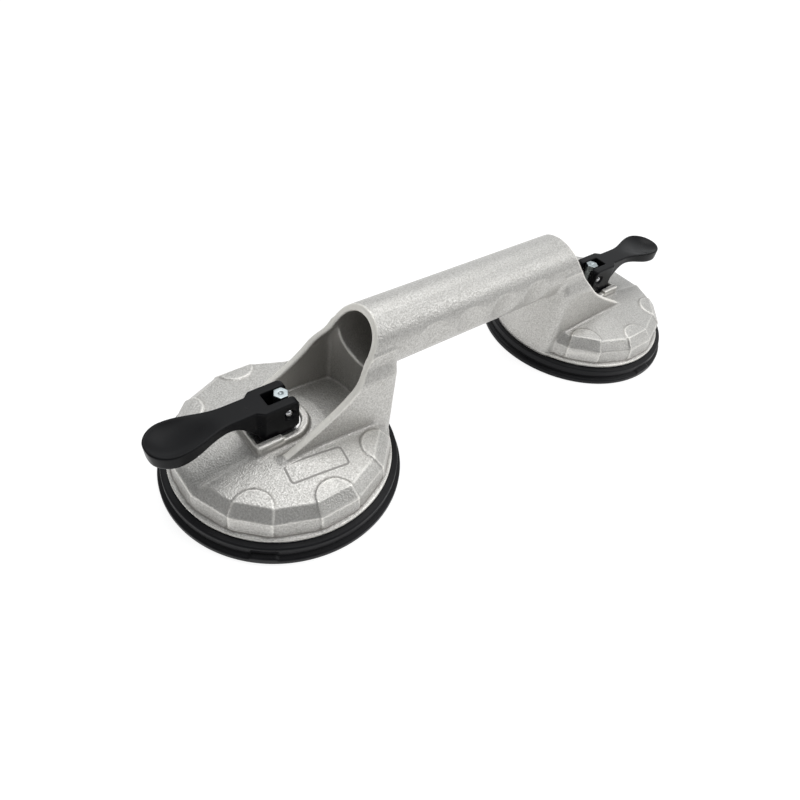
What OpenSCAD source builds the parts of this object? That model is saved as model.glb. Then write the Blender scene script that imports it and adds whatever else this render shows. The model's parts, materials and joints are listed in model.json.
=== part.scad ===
// Double-cup vacuum lifter: one cast handle with a lever-operated suction pad at each end.
// Origin: on the surface that the pads stand on, half way between the two cups.
// +X runs along the handle to the right cup, +Z is up. Each cup is drawn about its own
// axis with +X pointing outwards, and the left cup is the mirror image of the right one.

/* [Overall] */
// Distance between the two cup axes
cup_spacing = 220; // [183:1:270]
// Diameter of a rubber suction pad
pad_d = 118; // [98:1:142]
// Height of the handle tube's axis above the surface
handle_h = 61; // [50:1:76]

/* [Handle] */
// Outer diameter of the handle tube
tube_d = 33; // [27:0.5:40]
// Wall of the handle tube
tube_wall = 3.2; // [2.5:0.1:4.5]
// Number of finger recesses along the handle
finger_count = 4; // [1:1:5]
// Distance between neighbouring finger recesses
finger_pitch = 24; // [20:0.5:29]
// Width of one finger recess along the handle
finger_w = 19; // [12:0.5:23]
// Depth of the finger recesses
finger_depth = 1.5; // [0.5:0.1:1.8]

/* [Leg] */
// Width of the leg over its side walls
leg_w = 42.6; // [35.4:0.1:52]
// Thickness of the leg's side walls
leg_wall = 3.6; // [2.5:0.1:5]
// Thickness of the wall at the back of the leg's pocket
leg_back = 13.3; // [10:0.1:16]
// Distance from the cup's axis to the leg's outer tips
leg_tip = 12; // [6:0.1:14.5]

/* [Housing] */
// How far the pad's lip stands out past the housing's flange
lip_proud = 5; // [4:0.1:8]
// Thickness of the housing's bottom flange
flange_t = 1.8; // [1.2:0.05:2.4]
// How far the flange stands out past the housing's wall
flange_out = 2.4; // [1.5:0.1:3]
// Height of the housing's wall from its bottom edge to the chamfer
wall_h = 10; // [8:0.1:12]
// Height and depth of the chamfer round the housing
chamfer = 5; // [3:0.1:6]
// Rise of the housing's centre above its chamfer
crown_rise = 2.8; // [1:0.1:5]
// Thickness of the housing's wall
housing_wall = 3; // [2.4:0.1:4]
// Height of the raised tabs round the rim
tab_h = 0.6; // [0.3:0.1:1]
// Depth of the trough under the lever, at the rim
trough_depth = 2; // [1:0.1:2.4]

/* [Boss] */
// Thickness of the boss's walls
boss_wall = 3.5; // [2.5:0.1:4.5]
// Height of the boss's rim above its floor
boss_rim = 2.5; // [1.5:0.1:3]
// Extra height of the boss's side walls beside the heel
boss_ledge = 2; // [0.5:0.1:2.4]

/* [Pad] */
// Height of the rubber collar that the housing stands on
collar_h = 9; // [7.5:0.1:10.8]
// Height of the hollow under the pad with the lever locked
cavity_h = 4; // [3.3:0.1:4.8]
// Thickness of the rubber over the hollow
rubber_t = 3; // [2.5:0.1:3.6]
// Width of the lip that seals on the surface
lip_w = 12; // [8:0.1:14.4]

/* [Mechanism] */
// How far the pull bolt drops when the lever is raised by a quarter turn
release_travel = 3.5; // [2.5:0.1:4.2]
// Thickness of the steel backing plate
plate_t = 2; // [1.5:0.1:2.4]
// Diameter of the pull bolt's threaded shank
bolt_d = 5; // [4:0.1:6]
// Diameter of the pull bolt's round eye
eye_d = 6.8; // [6.4:0.1:8.2]
// Width across the flats of the pull bolt's hexagon
hex_af = 6.5; // [5.4:0.1:7.8]
// Diameter of the pivot pin
pin_d = 4.4; // [3.5:0.1:5.3]
// Wire diameter of the release spring
wire_d = 1.3; // [1:0.05:1.6]
// Turns of the release spring
spring_turns = 3.5; // [2.9:0.1:4.2]
// Thickness of the wear plate under the heel
wear_t = 1.2; // [0.8:0.1:1.5]

/* [Lever] */
// Distance from the pivot pin to the lever's tip
lever_l = 62.3; // [51.9:0.1:74.8]
// Width of the lever's fork
fork_w = 16.8; // [14:0.1:20.2]
// Distance from the pin down to the lever's heel
heel_drop = 11; // [9.1:0.1:13.2]
// Distance from the pin up to the lever's top face
lever_top = 7; // [5.8:0.1:8.4]
// Width of the lever's neck
neck_w = 11.8; // [9.8:0.1:14.2]
// Width of the lever's paddle
paddle_w = 22; // [16:0.1:26.4]
// Thickness of the lever's neck
neck_t = 5.1; // [4.2:0.05:6.1]
// How much thicker the paddle is than the neck
paddle_drop = 2.1; // [1:0.1:2.6]

/* [Fits] */
// Radial clearance of a running fit
run_fit = 0.05; // [0.02:0.01:0.08]
// Clearance between the heel and the wear plate
cam_gap = 0.3; // [0.25:0.05:0.5]
// Clearance between the fork and each side of the boss's pocket
fork_side = 0.8; // [0.5:0.1:1.2]
// Clearance between the bolt's eye and each prong of the fork
eye_side = 0.4; // [0.3:0.05:0.6]

/* [Hidden] */

round_fn = 96;
over = 1; // how far a cutting shape runs past the face that it cuts

// Radii from the cup's axis
flange_lean = 0.4; // rise of the flange's top towards the wall
wall_draft = 1; // how far the housing's wall leans in over its height
pad_r = pad_d / 2;
flange_r = pad_r - lip_proud;
wall_r = flange_r - flange_out;
wall_top_r = wall_r - wall_draft;
deck_r = wall_top_r - chamfer;
crown_r = 20;
cavity_r = wall_r - housing_wall - wall_draft / 2;
leg_back_r = flange_r + 0.5;
pocket_r = leg_back_r - leg_back;
mouth_x = -(leg_back_r - 10.5); // top of the handle's open end
lip_inner_r = pad_r - lip_w;
plate_r = lip_inner_r - 9;

// Heights above the surface
flange_z = collar_h + flange_t;
wall_top_z = collar_h + wall_h;
deck_z = wall_top_z + chamfer;
crown_z = deck_z + crown_rise;
boss_floor_z = crown_z + 0.7; // a machined face just over the crown
boss_rim_z = boss_floor_z + boss_rim;
pivot_z = boss_floor_z + wear_t + cam_gap + heel_drop;
plate_z = cavity_h + rubber_t;
insert_z = plate_z + plate_t;
roof_t = 4.2; // thickness of the housing's roof

// Handle and leg
tube_r = tube_d / 2;
bore_r = tube_r - tube_wall;
tube_top_z = handle_h + tube_r;
leg_blend = 13; // height over which the leg narrows to the tube
leg_blend_top = handle_h + 2;

// Hub, bush and spring stack
bolt_r = bolt_d / 2;
insert_rivet_r = bolt_r + 1.5;
insert_neck_r = bolt_r + 1.9;
insert_flange_r = bolt_r + 5.5;
insert_flange_t = 1.5;
insert_h = 4.5;
nut_af = 1.6 * bolt_d;
nut_h = 4;
spring_r = bolt_r + 4.4;
washer_t = 1;
washer_r = spring_r + 2.6;
bush_wall = 1.95;
bush_flange_t = 1.2;
bush_gap = 1.3; // room between the lock nut and the bush
bush_bore_r = bolt_r + run_fit;
hub_bore_r = bush_bore_r + bush_wall;
hub_r = washer_r + 2.5;
nut_z = insert_z + insert_h;
washer_z = insert_z + insert_flange_t;
bush_z = nut_z + nut_h + bush_gap;
hub_z = bush_z + bush_flange_t;
bolt_end_z = insert_z - 1;
wire_r = wire_d / 2;
end_play = 0.02; // each end of the spring stays this far off its seat

// Pull bolt head and pin
eye_r = eye_d / 2;
pin_r = pin_d / 2;
hex_z = 3.6; // distance from the pin up to the hexagon
hex_h = 3.4;
eye_below = 3.6;
pin_proud = 0.5;
pin_seat_r = pin_r + 0.8;
pin_seat_depth = 0.7;
shank_gap = 0.5;

// Lever outline, measured from the pivot pin
cam_rate = release_travel / (PI / 2);
fork_r = fork_w / 2;
fork_end = 5;
fork_corner = 3;
hex_d = hex_af / cos(30); // over the corners
slot_w = max(eye_d + 2 * eye_side, hex_d + 0.09);
slot_end = norm([hex_z + hex_h, hex_d / 2]) + 0.5;
shoulder_x = 12.3;
shoulder_l = 3;
neck_x = 29;
flare_x = neck_x - 3; // where the neck starts to widen into the paddle
paddle_r = paddle_w / 2;
paddle_x = lever_l - paddle_r;
heel_x = 15.2;
heel_corner = 3;
heel_flat_x = heel_x - heel_corner;
cam_last = 45; // angle at which the heel's curve meets the fork's end
neck_z = lever_top - neck_t;
paddle_z = neck_z - paddle_drop;
paddle_run = paddle_x - neck_x;
tip_corner = 0.8;
dish_r = 40;
dish_depth = 1;
dish_back = 1.5; // how far the dish's centre lies behind the paddle's

// Boss pocket, with room for the fork
boss_pocket_r = fork_r + fork_side;
boss_pocket_end = heel_x + 2;
boss_r = boss_pocket_r + boss_wall;
boss_end = boss_pocket_end + 1.6; // the wall at the outer end is thinner
boss_step_x = 5.5; // where the higher side walls start
wear_side = 0.4; // gap round the wear plate
trough_side = 1.5; // how much wider the trough is than the pocket, each side
trough_top_z = crown_z - 0.2;

// Places a cup's shapes at the left cup (side = -1) or the right cup (side = 1)
module at_cup(side) {
    if (side > 0)
        translate([cup_spacing / 2, 0, 0]) children();
    else
        mirror([1, 0, 0]) translate([cup_spacing / 2, 0, 0]) children();
}

// Point at t on the cubic curve through a and d with handles b and c
function curve_at(a, b, c, d, t) =
    pow(1 - t, 3) * a + 3 * pow(1 - t, 2) * t * b + 3 * (1 - t) * t * t * c + pow(t, 3) * d;

// Points along such a curve, both ends included
function curve(a, b, c, d, steps) = [for (i = [0:steps]) curve_at(a, b, c, d, i / steps)];

// Smooth step from 0 to 1 while t goes from 0 to 1
function ease(t) = (1 - cos(180 * t)) / 2;

// Points of an arc about c
function arc(c, r, from, to, steps) =
    [for (i = [0:steps]) let(a = from + (to - from) * i / steps) c + r * [cos(a), sin(a)]];

// A profile drawn as [x, z], extruded along Y by w, centred
module side_profile(points, w) {
    rotate([90, 0, 0])
        linear_extrude(w, center = true)
            polygon(points);
}

// ---- Casting ----

// Outer shape of a housing, grown outwards by g for the raised tabs
module housing_outer(g = 0) {
    rotate_extrude($fn = round_fn)
        polygon([[0, collar_h], [flange_r, collar_h], [flange_r, flange_z],
            [wall_r + g, flange_z + flange_lean], [wall_top_r + g, wall_top_z + g / 2],
            [deck_r + g / 2, deck_z + g], [crown_r, crown_z + g], [0, crown_z + g]]);
}

// Half-oval tabs round the rim, 45 degrees apart, except at the leg and the trough
module rim_tabs() {
    tab_r = deck_r * sin(11.25);
    tab_x = deck_r + 1.5; // centre of a tab's round end
    foot_z = flange_z + 2 * flange_lean; // the tabs stop just above the flange
    intersection() {
        housing_outer(tab_h);
        for (a = [45, 90, 135, 225, 270, 315])
            rotate(a) {
                translate([tab_x, 0, foot_z])
                    cylinder(h = crown_z, r = tab_r, $fn = round_fn);
                translate([tab_x, -tab_r, foot_z])
                    cube([pad_r, 2 * tab_r, crown_z]);
            }
    }
}

// Half width of the leg at height z, for a leg of half width low under a tube of radius top
function leg_half(z, low, top) =
    low - (low - top) * ease(min(1, max(0, (z - leg_blend_top + leg_blend) / leg_blend)));

// Section of the leg across X: straight sides that narrow to the tube
function leg_section(low, top, z0) = let(z1 = leg_blend_top - leg_blend, steps = 8)
    concat([[-low, z0], [low, z0]],
        [for (i = [0:steps]) let(z = z1 + leg_blend * i / steps) [leg_half(z, low, top), z]],
        [for (i = [steps:-1:0]) let(z = z1 + leg_blend * i / steps) [-leg_half(z, low, top), z]]);

// The leg's section and the tube above it, extruded from the back wall outwards
module leg_bar(low, top, z0) {
    bar_l = leg_back_r + leg_tip;
    translate([-leg_back_r, 0, 0])
        rotate([90, 0, 90]) {
            linear_extrude(bar_l)
                polygon(leg_section(low, top, z0));
            translate([0, handle_h, 0])
                cylinder(h = bar_l, r = top, $fn = round_fn);
        }
}

// Edge of the leg in side view, from its outer tip up to the top of the tube's mouth. The
// first handle sets how flat it leaves the housing, the second how steeply it meets the mouth.
tip_z = crown_z - 0.3;
tip_handle = [-22, 12.5];
mouth_handle = [13, -32];
leg_edge = curve([leg_tip, tip_z], [leg_tip, tip_z] + tip_handle,
    [mouth_x, tube_top_z] + mouth_handle, [mouth_x, tube_top_z], 14);

module leg() {
    cut_x = leg_tip + over;
    difference() {
        intersection() {
            leg_bar(leg_w / 2, tube_r, collar_h);
            cylinder(h = tube_top_z + over, r = leg_back_r, $fn = round_fn);
        }
        side_profile(concat(leg_edge,
            [[mouth_x, tube_top_z + over], [cut_x, tube_top_z + over], [cut_x, tip_z]]),
            leg_w + 2 * over);
        intersection() {
            leg_bar(leg_w / 2 - leg_wall, bore_r, crown_z - over);
            translate([0, 0, crown_z - over])
                cylinder(h = tube_top_z, r = pocket_r, $fn = round_fn);
        }
    }
}

// Outline of the boss: round at the pivot end, square at the outer end
module boss_outline(r, end) {
    circle(r, $fn = round_fn);
    translate([0, -r])
        square([end, 2 * r]);
}

module boss() {
    base_z = crown_z - 3;
    ledge_l = boss_end - boss_step_x;
    translate([0, 0, base_z])
        linear_extrude(boss_rim_z - base_z)
            boss_outline(boss_r, boss_end);
    translate([boss_step_x, -boss_r, boss_rim_z - over])
        cube([ledge_l, 2 * boss_r, boss_ledge + over]);
}

// Pocket in the boss for the heel, with a lower wall at the outer end
module boss_pocket() {
    translate([0, 0, boss_floor_z])
        linear_extrude(pivot_z)
            boss_outline(boss_pocket_r, boss_pocket_end);
    translate([boss_step_x, -boss_pocket_r, boss_rim_z + boss_ledge / 2])
        cube([boss_end, 2 * boss_pocket_r, boss_ledge]);
}

// Trough that runs from the boss to the rim, under the lever
module trough() {
    run = deck_r - boss_end;
    drop = crown_z - deck_z + trough_depth;
    side_profile([[boss_end, trough_top_z], [boss_end + 2 * run, trough_top_z - 2 * drop],
        [boss_end + 2 * run, crown_z + over], [boss_end, crown_z + over]],
        2 * (boss_pocket_r + trough_side));
}

// Hollow inside a housing, with the hub left standing
module housing_cavity() {
    rotate_extrude($fn = round_fn)
        polygon([[0, collar_h - over], [cavity_r, collar_h - over],
            [cavity_r, wall_top_z - roof_t + 1], [cavity_r - chamfer, deck_z - roof_t],
            [hub_r, crown_z - roof_t], [hub_r, hub_z], [0, hub_z]]);
}

// Shallow finger recesses in both sides of the handle, scooped by an upright round cutter
module finger_recesses() {
    first = -finger_pitch * (finger_count - 1) / 2;
    cutter_r = (pow(finger_w / 2, 2) + pow(finger_depth, 2)) / (2 * finger_depth);
    cutter_y = tube_r - finger_depth + cutter_r;
    for (i = [0:finger_count - 1], side = [-1, 1])
        intersection() {
            translate([first + i * finger_pitch, side * cutter_y, handle_h])
                cylinder(h = tube_d, r = cutter_r, center = true, $fn = round_fn);
            translate([first + i * finger_pitch, side * tube_r, handle_h])
                cube([finger_w + over, 4 * finger_depth, tube_d], center = true);
        }
}

module body_casting() {
    tube_l = cup_spacing + 2 * mouth_x;
    color("lightgray")
        difference() {
            union() {
                translate([0, 0, handle_h])
                    rotate([0, 90, 0])
                        cylinder(h = tube_l, r = tube_r, center = true, $fn = round_fn);
                for (side = [-1, 1])
                    at_cup(side) {
                        housing_outer();
                        rim_tabs();
                        leg();
                        boss();
                    }
            }
            translate([0, 0, handle_h])
                rotate([0, 90, 0])
                    cylinder(h = cup_spacing, r = bore_r, center = true, $fn = round_fn);
            finger_recesses();
            for (side = [-1, 1])
                at_cup(side) {
                    boss_pocket();
                    trough();
                    housing_cavity();
                    translate([0, 0, collar_h])
                        cylinder(h = crown_z, r = hub_bore_r, $fn = round_fn);
                }
        }
}

// ---- Suction pad, plate and insert ----

// Lip, groove and collar at the rim, and thinner rubber over the hollow
module suction_pad() {
    edge = 0.6; // corners of the lip and the collar are cut by this much
    lip_z = 3.2;
    groove_r = pad_r - 2.4;
    groove_low = 3.7;
    groove_high = 4.3;
    collar_r = pad_r - 1.9;
    slope = 6; // width over which the hollow rises from the lip
    color("dimgray")
        rotate_extrude($fn = round_fn)
            polygon([[0, cavity_h], [lip_inner_r - slope, cavity_h], [lip_inner_r, 0],
                [pad_r - edge, 0], [pad_r, edge], [pad_r, lip_z - edge], [pad_r - edge, lip_z],
                [groove_r, groove_low], [groove_r, groove_high], [collar_r, groove_high + edge],
                [collar_r, collar_h - edge], [collar_r - edge, collar_h],
                [cavity_r - 2, collar_h], [cavity_r - 4, plate_z], [0, plate_z]]);
}

module backing_plate() {
    color("silver")
        translate([0, 0, plate_z])
            difference() {
                cylinder(h = plate_t, r = plate_r, $fn = round_fn);
                translate([0, 0, -over])
                    cylinder(h = plate_t + 2 * over, r = insert_rivet_r, $fn = round_fn);
            }
}

module threaded_insert() {
    color("goldenrod")
        difference() {
            union() {
                translate([0, 0, plate_z])
                    cylinder(h = plate_t, r = insert_rivet_r, $fn = round_fn);
                translate([0, 0, insert_z])
                    cylinder(h = insert_flange_t, r = insert_flange_r, $fn = round_fn);
                translate([0, 0, insert_z])
                    cylinder(h = insert_h, r = insert_neck_r, $fn = round_fn);
            }
            translate([0, 0, bolt_end_z])
                cylinder(h = insert_h + plate_t, r = bolt_r, $fn = round_fn);
        }
}

// ---- Bolt, nut, spring and bush ----

module pull_bolt() {
    chamfer_r = hex_af / 2 + 0.15; // a 45 degree cone of this radius at the top cuts the corners
    color("silver")
        difference() {
            union() {
                translate([0, 0, bolt_end_z])
                    cylinder(h = pivot_z - bolt_end_z, r = bolt_r, $fn = round_fn);
                translate([0, 0, pivot_z - eye_below])
                    cylinder(h = eye_below + hex_z, r = eye_r, $fn = round_fn);
                translate([0, 0, pivot_z + hex_z])
                    intersection() {
                        cylinder(h = hex_h, d = hex_d, $fn = 6);
                        cylinder(h = 2 * hex_h, r1 = chamfer_r + hex_h, r2 = chamfer_r - hex_h,
                            $fn = round_fn);
                    }
            }
            translate([0, 0, pivot_z])
                rotate([90, 0, 0])
                    cylinder(h = 2 * eye_d, r = pin_r, center = true, $fn = round_fn);
        }
}

module lock_nut() {
    color("silver")
        translate([0, 0, nut_z])
            difference() {
                cylinder(h = nut_h, d = nut_af / cos(30), $fn = 6);
                translate([0, 0, -over])
                    cylinder(h = nut_h + 2 * over, r = bolt_r, $fn = round_fn);
            }
}

module spring_washer() {
    color("gainsboro")
        translate([0, 0, washer_z])
            difference() {
                cylinder(h = washer_t, r = washer_r, $fn = round_fn);
                translate([0, 0, -over])
                    cylinder(h = washer_t + 2 * over, r = insert_neck_r + run_fit, $fn = round_fn);
            }
}

// Coil swept as rings of points along a helix
module release_spring() {
    sides = 8;
    per_turn = 14;
    rings = round(spring_turns * per_turn);
    low = washer_z + washer_t + wire_r + end_play;
    high = bush_z - wire_r - end_play;
    points = [for (i = [0:rings]) let(a = 360 * i / per_turn, z = low + (high - low) * i / rings)
        for (k = [0:sides - 1]) let(b = 360 * k / sides, r = spring_r + wire_r * cos(b))
            [r * cos(a), r * sin(a), z + wire_r * sin(b)]];
    walls = [for (i = [0:rings - 1]) for (k = [0:sides - 1]) let(n = (k + 1) % sides)
        [i * sides + k, (i + 1) * sides + k, (i + 1) * sides + n, i * sides + n]];
    start_cap = [for (k = [0:sides - 1]) k];
    end_cap = [for (k = [sides - 1:-1:0]) rings * sides + k];
    color("gray")
        polyhedron(points, concat([start_cap], walls, [end_cap]), convexity = 10);
}

module guide_bush() {
    color("white")
        difference() {
            union() {
                translate([0, 0, bush_z])
                    cylinder(h = bush_flange_t, r = washer_r, $fn = round_fn);
                translate([0, 0, bush_z])
                    cylinder(h = boss_floor_z - bush_z, r = hub_bore_r, $fn = round_fn);
            }
            translate([0, 0, bush_z - over])
                cylinder(h = boss_floor_z, r = bush_bore_r, $fn = round_fn);
        }
}

module wear_plate() {
    color("silver")
        translate([0, 0, boss_floor_z])
            difference() {
                linear_extrude(wear_t)
                    boss_outline(boss_pocket_r - wear_side, boss_pocket_end - wear_side);
                translate([0, 0, -over])
                    cylinder(h = wear_t + 2 * over, r = bolt_r + shank_gap, $fn = round_fn);
            }
}

module pivot_pin() {
    reach = fork_r - pin_seat_depth + pin_proud;
    dome_r = 3;
    color("silver")
        translate([0, 0, pivot_z])
            rotate([90, 0, 0])
                intersection() {
                    cylinder(h = 2 * reach, r = pin_r, center = true, $fn = round_fn);
                    rotate_extrude($fn = round_fn)
                        polygon(concat([[0, -reach]],
                            arc([0, -reach + dome_r], dome_r, -90, -35, 6),
                            arc([0, reach - dome_r], dome_r, 35, 90, 6)));
                }
}

// ---- Lever ----

// Heel contour: its distance from the pin shrinks evenly with the lever's angle, so the
// heel keeps the same clearance while the bolt drops
function cam_point(a) = let(p = heel_drop - cam_rate * a * PI / 180)
    [-p * sin(a) + cam_rate * cos(a), -p * cos(a) - cam_rate * sin(a)];

lever_side = concat(
    arc([heel_flat_x, heel_corner - heel_drop], heel_corner, -90, 0, 6),
    curve([heel_x, 0.3 + heel_corner - heel_drop], [heel_x + 4.3, neck_z - 6.9],
        [neck_x - 8.5, neck_z], [neck_x, neck_z], 10),
    curve([neck_x + 1, neck_z], [neck_x + 0.4 * paddle_run, neck_z],
        [neck_x + 0.6 * paddle_run, paddle_z], [paddle_x, paddle_z], 6),
    [[lever_l - tip_corner, paddle_z], [lever_l, paddle_z + tip_corner],
        [lever_l, lever_top - tip_corner], [lever_l - tip_corner, lever_top]],
    arc([fork_corner - fork_end, lever_top - fork_corner], fork_corner, 90, 180, 6),
    [for (i = [9:-1:0]) let(c = cam_point(cam_last * i / 9)) [max(c.x, -fork_end), c.y]]);

// Half outline of the lever in plan, from the fork to the rounded tip
lever_half = concat(
    [[-fork_end - over, fork_r], [shoulder_x, fork_r],
        [shoulder_x + shoulder_l, neck_w / 2], [flare_x, neck_w / 2]],
    [for (i = [1:10]) [flare_x + (paddle_x - flare_x) * i / 10,
        neck_w / 2 + (paddle_r - neck_w / 2) * ease(i / 10)]],
    [for (i = [1:11]) [paddle_x + paddle_r * sin(90 * i / 12), paddle_r * cos(90 * i / 12)]]);

lever_plan = concat(lever_half, [[lever_l, 0]],
    [for (i = [len(lever_half) - 1:-1:0]) [lever_half[i].x, -lever_half[i].y]]);

module lever() {
    color("black")
        translate([0, 0, pivot_z])
            difference() {
                intersection() {
                    side_profile(lever_side, max(fork_w, paddle_w));
                    translate([0, 0, -heel_drop - over])
                        linear_extrude(heel_drop + lever_top + 2 * over)
                            polygon(lever_plan);
                }
                translate([-fork_end - over, -slot_w / 2, -heel_drop - over])
                    cube([fork_end + over + slot_end, slot_w, heel_drop + lever_top + 2 * over]);
                rotate([90, 0, 0])
                    cylinder(h = 2 * fork_w, r = pin_r + run_fit, center = true, $fn = round_fn);
                for (side = [-1, 1])
                    translate([0, side * (fork_r - pin_seat_depth), 0])
                        rotate([-side * 90, 0, 0])
                            cylinder(h = fork_w, r = pin_seat_r, $fn = round_fn);
                translate([paddle_x - dish_back, 0, lever_top + dish_r - dish_depth])
                    sphere(dish_r, $fn = round_fn);
            }
}

body_casting();
at_cup(-1) suction_pad();  // suction_pad_left
at_cup(1) suction_pad();  // suction_pad_right
at_cup(-1) backing_plate();  // backing_plate_left
at_cup(1) backing_plate();  // backing_plate_right
at_cup(-1) threaded_insert();  // threaded_insert_left
at_cup(1) threaded_insert();  // threaded_insert_right
at_cup(-1) pull_bolt();  // pull_bolt_left
at_cup(1) pull_bolt();  // pull_bolt_right
at_cup(-1) lock_nut();  // lock_nut_left
at_cup(1) lock_nut();  // lock_nut_right
at_cup(-1) spring_washer();  // spring_washer_left
at_cup(1) spring_washer();  // spring_washer_right
at_cup(-1) release_spring();  // release_spring_left
at_cup(1) release_spring();  // release_spring_right
at_cup(-1) guide_bush();  // guide_bush_left
at_cup(1) guide_bush();  // guide_bush_right
at_cup(-1) wear_plate();  // wear_plate_left
at_cup(1) wear_plate();  // wear_plate_right
at_cup(-1) pivot_pin();  // pivot_pin_left
at_cup(1) pivot_pin();  // pivot_pin_right
at_cup(-1) lever();  // lever_left
at_cup(1) lever();  // lever_right
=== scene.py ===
"""Looks of the double-cup vacuum lifter: castings and levers cut from distance fields,
lathed rubber pads, steel hardware, and a plain white studio."""

import json
import math

import bmesh
import bpy
import numpy as np
import openvdb
from mathutils import Matrix, Vector


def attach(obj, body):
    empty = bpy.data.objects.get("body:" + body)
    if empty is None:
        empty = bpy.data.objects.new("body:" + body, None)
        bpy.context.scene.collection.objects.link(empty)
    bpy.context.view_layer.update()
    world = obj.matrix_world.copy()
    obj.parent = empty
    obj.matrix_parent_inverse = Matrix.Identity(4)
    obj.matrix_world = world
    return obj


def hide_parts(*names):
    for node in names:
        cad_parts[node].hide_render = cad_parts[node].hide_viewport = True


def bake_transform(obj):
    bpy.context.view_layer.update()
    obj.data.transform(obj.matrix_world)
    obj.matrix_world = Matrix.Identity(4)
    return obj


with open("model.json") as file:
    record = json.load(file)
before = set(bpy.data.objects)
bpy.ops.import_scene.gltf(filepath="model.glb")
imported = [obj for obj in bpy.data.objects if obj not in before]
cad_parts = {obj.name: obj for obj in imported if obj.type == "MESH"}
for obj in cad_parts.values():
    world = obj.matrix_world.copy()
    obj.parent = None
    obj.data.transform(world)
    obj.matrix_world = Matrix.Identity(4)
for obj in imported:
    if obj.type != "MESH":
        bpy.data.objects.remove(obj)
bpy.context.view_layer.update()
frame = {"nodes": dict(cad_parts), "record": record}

MM = 0.001

# Sizes of the CAD model that the looks repeat, in millimetres. A cup is drawn about its own
# axis with +X pointing outwards; the left cup mirrors the right one.
CUP_X = 110.0
COLLAR_Z = 9.0
FLANGE_R, FLANGE_Z = 54.0, 10.8
WALL_R, WALL_TOP_R, WALL_TOP_Z = 51.6, 50.6, 19.0
DECK_R, DECK_Z = 45.6, 24.0
CROWN_R, CROWN_Z = 20.0, 26.8
CAVITY_R, ROOF_T, CHAMFER = 48.1, 4.2, 5.0
HUB_R, HUB_Z, HUB_BORE_R = 12.0, 20.0, 4.5
HANDLE_Z, TUBE_R, BORE_R = 61.0, 16.5, 13.3
TUBE_TOP_Z = HANDLE_Z + TUBE_R
LEG_HALF, LEG_WALL, LEG_BACK_R, POCKET_R = 21.3, 3.6, 54.5, 41.2
LEG_TIP, MOUTH_X = 12.0, -44.0
BOSS_R, BOSS_END, BOSS_STEP_X = 12.7, 18.8, 5.5
BOSS_FLOOR_Z, BOSS_RIM_Z, BOSS_LEDGE_Z = 27.5, 30.0, 32.0
BOSS_POCKET_R, BOSS_POCKET_END = 9.2, 17.2
TROUGH_HALF, TROUGH_DEPTH = 10.7, 2.0
TAB_H, TAB_FOOT_Z, TAB_X, TAB_ANGLES = 0.6, 11.6, DECK_R + 1.5, (45, 90, 135)
FACET_COUNT = 16
HALF_FACET = 180 / FACET_COUNT
FINGER_X, FINGER_W, FINGER_DEPTH = (12.0, 36.0), 19.0, 1.5
PIVOT_Z, PIN_R = 40.0, 2.2


# ---- Distance fields: negative inside, in millimetres ----


def smooth_min(a, b, k):
    """Union of two fields with a fillet about k wide."""
    h = np.maximum(k - np.abs(a - b), 0) / k
    return np.minimum(a, b) - h * h * k / 4


def smooth_max(a, b, k):
    """Intersection of two fields with a rounded edge about k wide."""
    return -smooth_min(-a, -b, k)


def polygon_field(points, px, py):
    """Distance to a closed polygon."""
    px, py = np.broadcast_arrays(px, py)
    nearest = np.full(px.shape, np.inf)
    inside = np.zeros(px.shape, bool)
    for (ax, ay), (bx, by) in zip(points, points[1:] + points[:1]):
        ex, ey = bx - ax, by - ay
        t = np.clip(((px - ax) * ex + (py - ay) * ey) / (ex * ex + ey * ey), 0, 1)
        nearest = np.minimum(nearest, (px - ax - t * ex) ** 2 + (py - ay - t * ey) ** 2)
        if ay != by:
            inside ^= ((ay > py) != (by > py)) & (px < ax + (py - ay) * ex / ey)
    return np.where(inside, -1, 1) * np.sqrt(nearest)


def lathe_field(profile, radius, z):
    """Distance to a profile [(r, z)] turned about the cup's axis; radius is a 2-D array."""
    step = 0.25
    rings = np.arange(0, radius.max() + 2 * step, step)
    table = polygon_field(profile, rings[:, None], z[None, :])
    place = radius / step
    low = place.astype(int)
    part = (place - low)[..., None]
    return table[low] * (1 - part) + table[low + 1] * part


def soften(field, passes):
    """Blur a field a little, which rounds every edge the way a casting's are."""
    for _ in range(passes):
        for axis in range(3):
            wide = np.pad(field, [(1, 1) if a == axis else (0, 0) for a in range(3)], "edge")
            field = (np.take(wide, range(0, field.shape[axis]), axis)
                     + 2 * field
                     + np.take(wide, range(2, field.shape[axis] + 2), axis)) / 4
    return field


def ease(t):
    """Smooth step from 0 to 1."""
    return (1 - np.cos(np.pi * np.clip(t, 0, 1))) / 2


def cubic(a, b, c, d, steps):
    """Points along a cubic curve from a to d with handles b and c."""
    out = []
    for i in range(steps + 1):
        t = i / steps
        w = ((1 - t) ** 3, 3 * (1 - t) ** 2 * t, 3 * (1 - t) * t * t, t**3)
        out.append(tuple(sum(wi * p[k] for wi, p in zip(w, (a, b, c, d))) for k in (0, 1)))
    return out


def arc(centre, r, start, end, steps):
    """Points along an arc, angles in degrees."""
    angles = [math.radians(start + (end - start) * i / steps) for i in range(steps + 1)]
    return [(centre[0] + r * math.cos(a), centre[1] + r * math.sin(a)) for a in angles]


# ---- Mesh helpers ----


def new_object(name, verts, faces, smooth=True):
    """A mesh object from points in millimetres."""
    mesh = bpy.data.meshes.new(name)
    mesh.from_pydata([tuple(p) for p in np.asarray(verts, float) * MM], [], faces)
    mesh.validate()
    if smooth:
        mesh.polygons.foreach_set("use_smooth", [True] * len(mesh.polygons))
    obj = bpy.data.objects.new(name, mesh)
    bpy.context.scene.collection.objects.link(obj)
    return obj


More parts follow.
